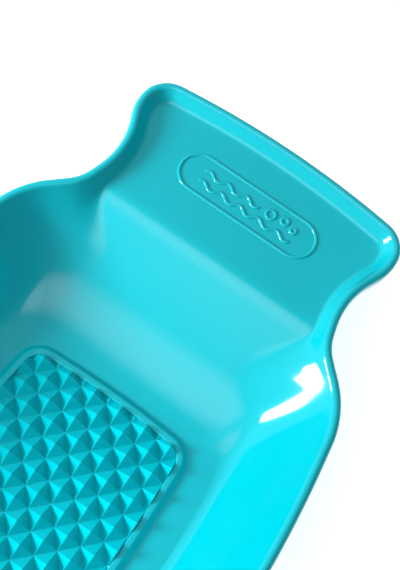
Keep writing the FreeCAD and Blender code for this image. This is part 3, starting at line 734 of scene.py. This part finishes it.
def make_sockets(surface):
    """Blind round sockets under the floor, one for each foot."""
    for place in FEET:
        foot = "rubber_foot_" + place
        bottom = node_box(foot)[1][2] - SOCKET_DEPTH
        top = FLOOR_LEVEL - WALL + SOCKET_LET_IN
        corners = [
            (SOCKET_BORE, bottom, 0.4),
            (SOCKET_BORE, bottom + SOCKET_DEPTH, 0.1),
            (0.0, bottom + SOCKET_DEPTH, 0.0),
            (0.0, top, 0.0),
            (SOCKET_RADIUS + SOCKET_FLARE, top, 0.1),
            (SOCKET_RADIUS, top - SOCKET_FLARE, SOCKET_FLARE * 2),
            (SOCKET_RADIUS, bottom, 0.5),
        ]
        lathe(surface, node_centre(foot), corners)


# ---------------------------------------------------------------- materials
NOISE_LOW = 0.3
NOISE_HIGH = 0.7
COLOUR_DETAIL = 3.0
ROUGH_DETAIL = 5.0
ROUGH_FINER = 4
GRAIN_DETAIL = 2.0


def noise(tree, scale, detail):
    """Noise over an object's own coordinates, in cycles per metre."""
    place = tree.nodes.new("ShaderNodeTexCoord")
    pattern = tree.nodes.new("ShaderNodeTexNoise")
    pattern.inputs["Scale"].default_value = scale
    pattern.inputs["Detail"].default_value = detail
    tree.links.new(place.outputs["Object"], pattern.inputs["Vector"])
    return pattern.outputs["Fac"]


def map_range(tree, value, low_in, high_in, low, high):
    """Maps a value from one range to another."""
    stretch = tree.nodes.new("ShaderNodeMapRange")
    stretch.inputs["From Min"].default_value = low_in
    stretch.inputs["From Max"].default_value = high_in
    stretch.inputs["To Min"].default_value = low
    stretch.inputs["To Max"].default_value = high
    tree.links.new(value, stretch.inputs["Value"])
    return stretch


def spread(tree, value, low, high):
    """Stretches a noise value to the range from low to high."""
    return map_range(tree, value, NOISE_LOW, NOISE_HIGH, low, high).outputs["Result"]


def mottled(name, colours, colour_scale, roughness, grain_scale, grain_depth, **uniform):
    """Moulded or metal finish: colour and roughness vary over the surface, with a fine grain in relief."""
    material = bpy.data.materials.new(name)
    material.use_nodes = True
    tree = material.node_tree
    shader = tree.nodes["Principled BSDF"]
    for socket, value in uniform.items():
        shader.inputs[socket.replace("_", " ")].default_value = value
    ramp = tree.nodes.new("ShaderNodeValToRGB")
    ramp.color_ramp.elements[0].color = (*colours[0], 1)
    ramp.color_ramp.elements[1].color = (*colours[1], 1)
    patches = spread(tree, noise(tree, colour_scale, COLOUR_DETAIL), 0.0, 1.0)
    tree.links.new(patches, ramp.inputs["Fac"])
    tree.links.new(ramp.outputs["Color"], shader.inputs["Base Color"])
    rough = spread(tree, noise(tree, colour_scale * ROUGH_FINER, ROUGH_DETAIL), *roughness)
    tree.links.new(rough, shader.inputs["Roughness"])
    bump = tree.nodes.new("ShaderNodeBump")
    bump.inputs["Distance"].default_value = grain_depth
    bump.inputs["Strength"].default_value = 1.0
    tree.links.new(noise(tree, grain_scale, GRAIN_DETAIL), bump.inputs["Height"])
    tree.links.new(bump.outputs["Normal"], shader.inputs["Normal"])
    return material


CLEAR_BLUE = (0.2, 1.0, 1.0)
GLOSS = mottled(
    "turquoise_gloss", ((0.0, 0.495, 0.585), (0.0, 0.52, 0.61)), 9.0, (0.07, 0.12), 260.0, 6e-6,
    Subsurface_Weight=0.12, Subsurface_Radius=CLEAR_BLUE, Subsurface_Scale=0.004, Specular_IOR_Level=0.5,
)
SATIN = mottled(
    "turquoise_satin", ((0.0, 0.43, 0.54), (0.0, 0.47, 0.58)), 9.0, (0.3, 0.42), 1800.0, 3e-5,
    Subsurface_Weight=0.1, Subsurface_Radius=CLEAR_BLUE, Subsurface_Scale=0.004,
)
WHITE = mottled(
    "white_plastic", ((0.78, 0.79, 0.78), (0.84, 0.85, 0.84)), 25.0, (0.2, 0.32), 900.0, 1e-5,
    Subsurface_Weight=0.1, Subsurface_Scale=0.003,
)
BLACK_RUBBER = mottled(
    "black_rubber", ((0.012, 0.012, 0.013), (0.025, 0.025, 0.026)), 60.0, (0.55, 0.75), 1500.0, 4e-5,
)
PLUG_RUBBER = mottled(
    "plug_rubber", ((0.66, 0.68, 0.67), (0.74, 0.76, 0.75)), 40.0, (0.38, 0.5), 1600.0, 2e-5,
    Subsurface_Weight=0.15, Subsurface_Scale=0.003,
)
GREY_RUBBER = mottled(
    "foot_rubber", ((0.5, 0.53, 0.54), (0.58, 0.61, 0.62)), 50.0, (0.5, 0.7), 1500.0, 4e-5,
    Subsurface_Weight=0.05, Subsurface_Scale=0.002,
)
STEEL = mottled(
    "ring_steel", ((0.62, 0.63, 0.64), (0.72, 0.72, 0.73)), 120.0, (0.1, 0.24), 2600.0, 8e-6,
    Metallic=1.0,
)


# ---------------------------------------------------------------- the pieces
def make_tub():
    """The one moulding: basin and rim, pad, badge and sockets."""
    surface = make_shell()
    make_badge(surface)
    surface.finish = 1
    make_sockets(surface)
    surface.piece("tub_moulding", "tub", "shell_plastic", [GLOSS, SATIN], ["tub_shell"])


# in the tables of corners, each is (radius, height, rounding)
COLLAR_BORE = 15.0
TUBE_RADIUS = 19.8
FLANGE_BEVEL = (3.2, 0.9)
THREAD_PITCH = 2.0
THREAD_DEPTH = 0.55
THREAD_START = 0.5
THREAD_CLEAR = 0.3
THREAD_FLANK = (0.1, 0.4)
FINE_SECTION = 0.4


def make_collar():
    """Flanged bush through the floor, with a coarse thread on its outside."""
    low, high = node_box("drain_collar")
    flange_radius = (high - low)[0] / 2
    thread_end = node_box("drain_gasket")[0][2]

    def threaded(angles, radius, height):
        if radius < TUBE_RADIUS - THREAD_CLEAR or not low[2] + THREAD_START < height < thread_end:
            return np.full(len(angles), radius)
        turn = ((height - low[2]) / THREAD_PITCH + angles / (2 * math.pi)) % 1.0
        fade = min((height - low[2]) / THREAD_PITCH, (thread_end - height) / THREAD_PITCH, 1.0)
        return radius - THREAD_DEPTH * fade * smooth_step(*THREAD_FLANK, np.abs(turn - 0.5))

    corners = [
        (COLLAR_BORE, low[2], 0.6),
        (COLLAR_BORE, high[2], 0.9),
        (flange_radius - FLANGE_BEVEL[0], high[2], 5.0),
        (flange_radius, high[2] - FLANGE_BEVEL[1], 0.5),
        (flange_radius, FLOOR_LEVEL, 0.2),
        (TUBE_RADIUS, FLOOR_LEVEL, 0.2),
        (TUBE_RADIUS, low[2], 0.6),
    ]
    surface = Surface()
    lathe(surface, node_centre("drain_collar"), corners, FINE_SECTION, threaded)
    surface.piece("drain_collar_bush", "tub", "drain_plastic", [WHITE], ["drain_collar"])


GASKET_BULGE = 0.1


def make_gasket():
    """Rubber ring with rounded edges, pinched between the floor and the nut."""
    low, high = node_box("drain_gasket")
    radius = (high - low)[0] / 2
    corners = [
        (TUBE_RADIUS, low[2], 0.3),
        (TUBE_RADIUS, high[2], 0.3),
        (radius - GASKET_BULGE, high[2], 0.5),
        (radius, (low[2] + high[2]) / 2, 0.6),
        (radius - GASKET_BULGE, low[2], 0.5),
    ]
    surface = Surface()
    lathe(surface, node_centre("drain_gasket"), corners, 1.0)
    surface.piece("drain_gasket_ring", "tub", "seal_rubber", [BLACK_RUBBER], ["drain_gasket"])


NUT_CHAMFER_SLOPE = 1.6
NUT_FACE_TRIM = 0.4
NUT_CORNER_TRIM = 0.985
NUT_BORE_EDGE = 0.5
NUT_COUNT = 144


def make_locknut():
    """Hexagonal nut, chamfered at both faces."""
    low, high = node_box("drain_locknut")
    half_flats = (high - low)[1] / 2

    def hexagonal(angles, radius, height):
        if radius < TUBE_RADIUS + NUT_BORE_EDGE:
            return np.full(len(angles), radius)
        flats = half_flats / np.cos(angles % (math.pi / 3) - math.pi / 6)
        corner = half_flats / math.cos(math.pi / 6) * NUT_CORNER_TRIM
        from_face = min(height - low[2], high[2] - height)
        widest = half_flats - NUT_FACE_TRIM + from_face * NUT_CHAMFER_SLOPE
        full = np.minimum(np.minimum(flats, corner), widest)
        return TUBE_RADIUS + (full - TUBE_RADIUS) * (radius - TUBE_RADIUS) / (half_flats - TUBE_RADIUS)

    corners = [
        (TUBE_RADIUS, low[2], 0.4),
        (TUBE_RADIUS, high[2], 0.4),
        (half_flats, high[2], 0.2),
        (half_flats, low[2], 0.2),
    ]
    surface = Surface()
    lathe(surface, node_centre("drain_locknut"), corners, 0.8, hexagonal, NUT_COUNT)
    surface.piece("drain_nut", "tub", "drain_plastic", [WHITE], ["drain_locknut"])


PLUG_HEAD_RADIUS = 19.0
PLUG_HEAD = 2.5
PLUG_DISH = 0.7
PLUG_SEAT = FLOOR_LEVEL + 2.02
STEM_RADIUS = 14.92
RIB_DEPTH = 0.55
RING_WIRE = 1.2
LUG_RADIUS = 3.4
LUG_HOLE = 1.7
LUG_HALF = 1.5


def make_plug():
    """Rubber stopper with two sealing ribs, a dished head and a lug for the ring."""
    low, high = node_box("drain_plug")
    bottom = low[2]
    waist = STEM_RADIUS - RIB_DEPTH
    top = PLUG_SEAT + PLUG_HEAD
    dish = top - PLUG_DISH
    corners = [
        (0.0, bottom, 0.0),
        (waist - 1.2, bottom, 0.8),
        (waist, bottom + 1.4, 0.8),
        (STEM_RADIUS, bottom + 2.2, 0.5),
        (STEM_RADIUS, bottom + 3.2, 0.5),
        (waist, bottom + 4.0, 0.5),
        (waist, bottom + 5.2, 0.5),
        (STEM_RADIUS, bottom + 6.0, 0.5),
        (STEM_RADIUS, PLUG_SEAT, 0.2),
        (PLUG_HEAD_RADIUS, PLUG_SEAT, 0.3),
        (PLUG_HEAD_RADIUS, top - 0.6, 0.8),
        (PLUG_HEAD_RADIUS - 2.6, top, 2.0),
        (PLUG_HEAD_RADIUS - 4.2, top, 0.4),
        (PLUG_HEAD_RADIUS - 5.0, dish, 0.4),
        (0.0, dish, 0.0),
    ]
    surface = Surface()
    lathe(surface, node_centre("drain_collar"), corners, 2.0)
    make_lug(surface, high[2] - LUG_RADIUS)
    surface.piece("drain_stopper", "plug", "plug_rubber", [PLUG_RUBBER], ["drain_plug"])


def make_lug(surface, level):
    """Eye that holds the ring: a round-edged ring about an axis along X, rooted in the head."""
    middle = node_box("plug_pull_ring")[1][1] - RING_WIRE
    section, _ = Outline([
        (LUG_HOLE, -LUG_HALF, 0.45),
        (LUG_HOLE, LUG_HALF, 0.45),
        (LUG_RADIUS, LUG_HALF, 0.6),
        (LUG_RADIUS, -LUG_HALF, 0.6),
    ]).sample(0.6, math.radians(20))
    count = 48
    angles = 2 * math.pi * np.arange(count) / count
    rows = []
    for radius, across in section:
        y = middle + radius * np.cos(angles)
        z = level + radius * np.sin(angles)
        rows.append(surface.row(np.stack([np.full(count, across), y, z], axis=1)))
    for one, other in zip(rows, rows[1:] + rows[:1]):
        surface.bridge(one, other)


WELD_ANGLE = math.radians(-90)
WELD_DEPTH = 0.14
WELD_EDGES = (0.25, 0.5, 1.2)


def make_ring():
    """Wire pull ring lying on the plug, with a slight butt weld in the wire."""
    low, high = node_box("plug_pull_ring")
    radius = (high - low)[0] / 2 - RING_WIRE
    centre = (low + high) / 2
    turns, count = 128, 24
    bead, groove, shoulder = WELD_EDGES
    section = 2 * math.pi * np.arange(count) / count
    surface = Surface()
    rows = []
    for k in range(turns):
        angle = 2 * math.pi * k / turns
        away = abs((angle - WELD_ANGLE + math.pi) % (2 * math.pi) - math.pi) * radius
        dip = smooth_step(bead, groove, away) - smooth_step(groove, shoulder, away)
        wire = RING_WIRE - WELD_DEPTH * dip
        out = radius + wire * np.cos(section)
        x = centre[0] + out * math.cos(angle)
        y = centre[1] + out * math.sin(angle)
        rows.append(surface.row(np.stack([x, y, centre[2] + wire * np.sin(section)], axis=1)))
    for one, other in zip(rows, rows[1:] + rows[:1]):
        surface.bridge(one, other)
    surface.piece("pull_ring_wire", "pull_ring", "ring_steel", [STEEL], ["plug_pull_ring"])


# ---------------------------------------------------------------- feet
TREAD_GROOVES = (4.2, 8.0)
GROOVE_WIDTH = 1.3
GROOVE_DEPTH = 0.9
TREAD_HEIGHT = 5.0
TREAD_TAPER = 1.5


def make_foot(place):
    """Rubber foot: tapered tread with round grooves, and a stem up in its socket."""
    node = "rubber_foot_" + place
    low, high = node_box(node)
    radius = (high - low)[0] / 2
    corners = [(0.0, low[2], 0.0)]
    for groove in TREAD_GROOVES:
        corners += [
            (groove - GROOVE_WIDTH / 2, low[2], 0.2),
            (groove - GROOVE_WIDTH / 4, low[2] + GROOVE_DEPTH, 0.2),
            (groove + GROOVE_WIDTH / 4, low[2] + GROOVE_DEPTH, 0.2),
            (groove + GROOVE_WIDTH / 2, low[2], 0.2),
        ]
    corners += [
        (radius - TREAD_TAPER, low[2], 1.0),
        (radius, low[2] + TREAD_HEIGHT, 0.6),
        (SOCKET_BORE, low[2] + TREAD_HEIGHT, 0.2),
        (SOCKET_BORE, high[2], 0.8),
        (0.0, high[2], 0.0),
    ]
    surface = Surface()
    lathe(surface, node_centre(node), corners, 2.5)
    surface.piece("foot_" + place, "tub", "foot_rubber", [GREY_RUBBER], [node])


make_tub()
make_collar()
make_gasket()
make_locknut()
make_plug()
make_ring()
for foot_place in FEET:
    make_foot(foot_place)


# ---------------------------------------------------------------- camera
def look_matrix(place, right, forward):
    """Camera matrix from its place, its right-hand direction and its view direction."""
    forward = Vector(forward).normalized()
    right = (Vector(right) - Vector(right).dot(forward) * forward).normalized()
    up = right.cross(forward)
    turn = Matrix((right, up, -forward)).transposed()
    return Matrix.Translation(Vector(place)) @ turn.to_4x4()


CAMERA_PLACE = (0.07554, -0.09723, 0.69904)
CAMERA_RIGHT = (0.8203, 0.5511, 0.1531)
CAMERA_FORWARD = (-0.0839, 0.3806, -0.9209)
CAMERA_LENS = 53.68
CAMERA_SHIFT = (-0.027, 0.002)


def make_camera():
    """Camera above the bowl, looking down towards the lip."""
    data = bpy.data.cameras.new("camera")
    data.sensor_width = 36.0
    data.lens = CAMERA_LENS
    data.shift_x, data.shift_y = CAMERA_SHIFT
    data.clip_start = 0.01
    camera = bpy.data.objects.new("camera", data)
    bpy.context.scene.collection.objects.link(camera)
    camera.matrix_world = look_matrix(CAMERA_PLACE, CAMERA_RIGHT, CAMERA_FORWARD)
    bpy.context.scene.camera = camera


make_camera()


# ---------------------------------------------------------------- light and floor
BATH_MIDDLE = Vector((0.0, 0.1, 0.05))
SOFTBOX_WAY = (-145, 21)
SOFTBOX_DISTANCE = 1.15
SOFTBOX_SIDE = 0.3
SOFTBOX_POWER = 18
GLOW_WAY = (-90, 66)
GLOW_FROM = 0.9
GLOW_STRENGTH = 1.9
SURROUND_LEFT = 0.76
SURROUND_RIGHT = 0.12
SURROUND_RIGHT_FROM = 0.8
FLOOR_SIZE = 8.0
FLOOR_DROP = 0.0002
FLOOR_ALBEDO = 0.93
FLOOR_ROUGHNESS = 0.9
FLOOR_GLOW = 0.6


def bearing(azimuth, elevation):
    """Unit vector; the azimuth counts in degrees from +X towards +Y."""
    turn = math.radians(azimuth)
    lift = math.radians(elevation)
    return Vector((math.cos(lift) * math.cos(turn), math.cos(lift) * math.sin(turn), math.sin(lift)))


def make_softbox():
    """Square soft light, low on the left behind the foot end, aimed at the bath."""
    data = bpy.data.lights.new("softbox", "AREA")
    data.shape = "RECTANGLE"
    data.size = SOFTBOX_SIDE
    data.size_y = SOFTBOX_SIDE
    data.energy = SOFTBOX_POWER
    light = bpy.data.objects.new("softbox", data)
    bpy.context.scene.collection.objects.link(light)
    away = bearing(*SOFTBOX_WAY)
    light.location = BATH_MIDDLE + away * SOFTBOX_DISTANCE
    light.rotation_euler = (-away).to_track_quat("-Z", "Y").to_euler()


def make_surround():
    """Pale surround, brighter on the left than on the right, with a soft glow high over the foot end."""
    world = bpy.data.worlds.new("surround")
    world.use_nodes = True
    tree = world.node_tree
    background = tree.nodes["Background"]
    background.inputs["Color"].default_value = (1.0, 1.0, 1.0, 1)
    way = tree.nodes.new("ShaderNodeTexCoord")
    facing = tree.nodes.new("ShaderNodeVectorMath")
    facing.operation = "DOT_PRODUCT"
    facing.inputs[1].default_value = bearing(*GLOW_WAY)
    tree.links.new(way.outputs["Generated"], facing.inputs[0])
    glow = map_range(tree, facing.outputs["Value"], GLOW_FROM, 1.0, 0.0, GLOW_STRENGTH)
    glow.interpolation_type = "SMOOTHSTEP"
    sides = tree.nodes.new("ShaderNodeSeparateXYZ")
    tree.links.new(way.outputs["Generated"], sides.inputs["Vector"])
    across = map_range(tree, sides.outputs["X"], -1.0, SURROUND_RIGHT_FROM, SURROUND_LEFT, SURROUND_RIGHT)
    total = tree.nodes.new("ShaderNodeMath")
    total.operation = "ADD"
    tree.links.new(glow.outputs["Result"], total.inputs[0])
    tree.links.new(across.outputs["Result"], total.inputs[1])
    tree.links.new(total.outputs["Value"], background.inputs["Strength"])
    bpy.context.scene.world = world


def make_floor():
    """Plain pale floor."""
    bpy.ops.mesh.primitive_plane_add(size=FLOOR_SIZE, location=(0, 0, -FLOOR_DROP))
    plane = bpy.context.object
    plane.name = "floor"
    material = bpy.data.materials.new("floor_paint")
    material.use_nodes = True
    shader = material.node_tree.nodes["Principled BSDF"]
    shader.inputs["Base Color"].default_value = (FLOOR_ALBEDO, FLOOR_ALBEDO, FLOOR_ALBEDO, 1)
    shader.inputs["Roughness"].default_value = FLOOR_ROUGHNESS
    shader.inputs["Emission Color"].default_value = (1, 1, 1, 1)
    shader.inputs["Emission Strength"].default_value = FLOOR_GLOW
    plane.data.materials.append(material)


make_softbox()
make_surround()
make_floor()
bpy.context.scene.view_settings.view_transform = "Standard"
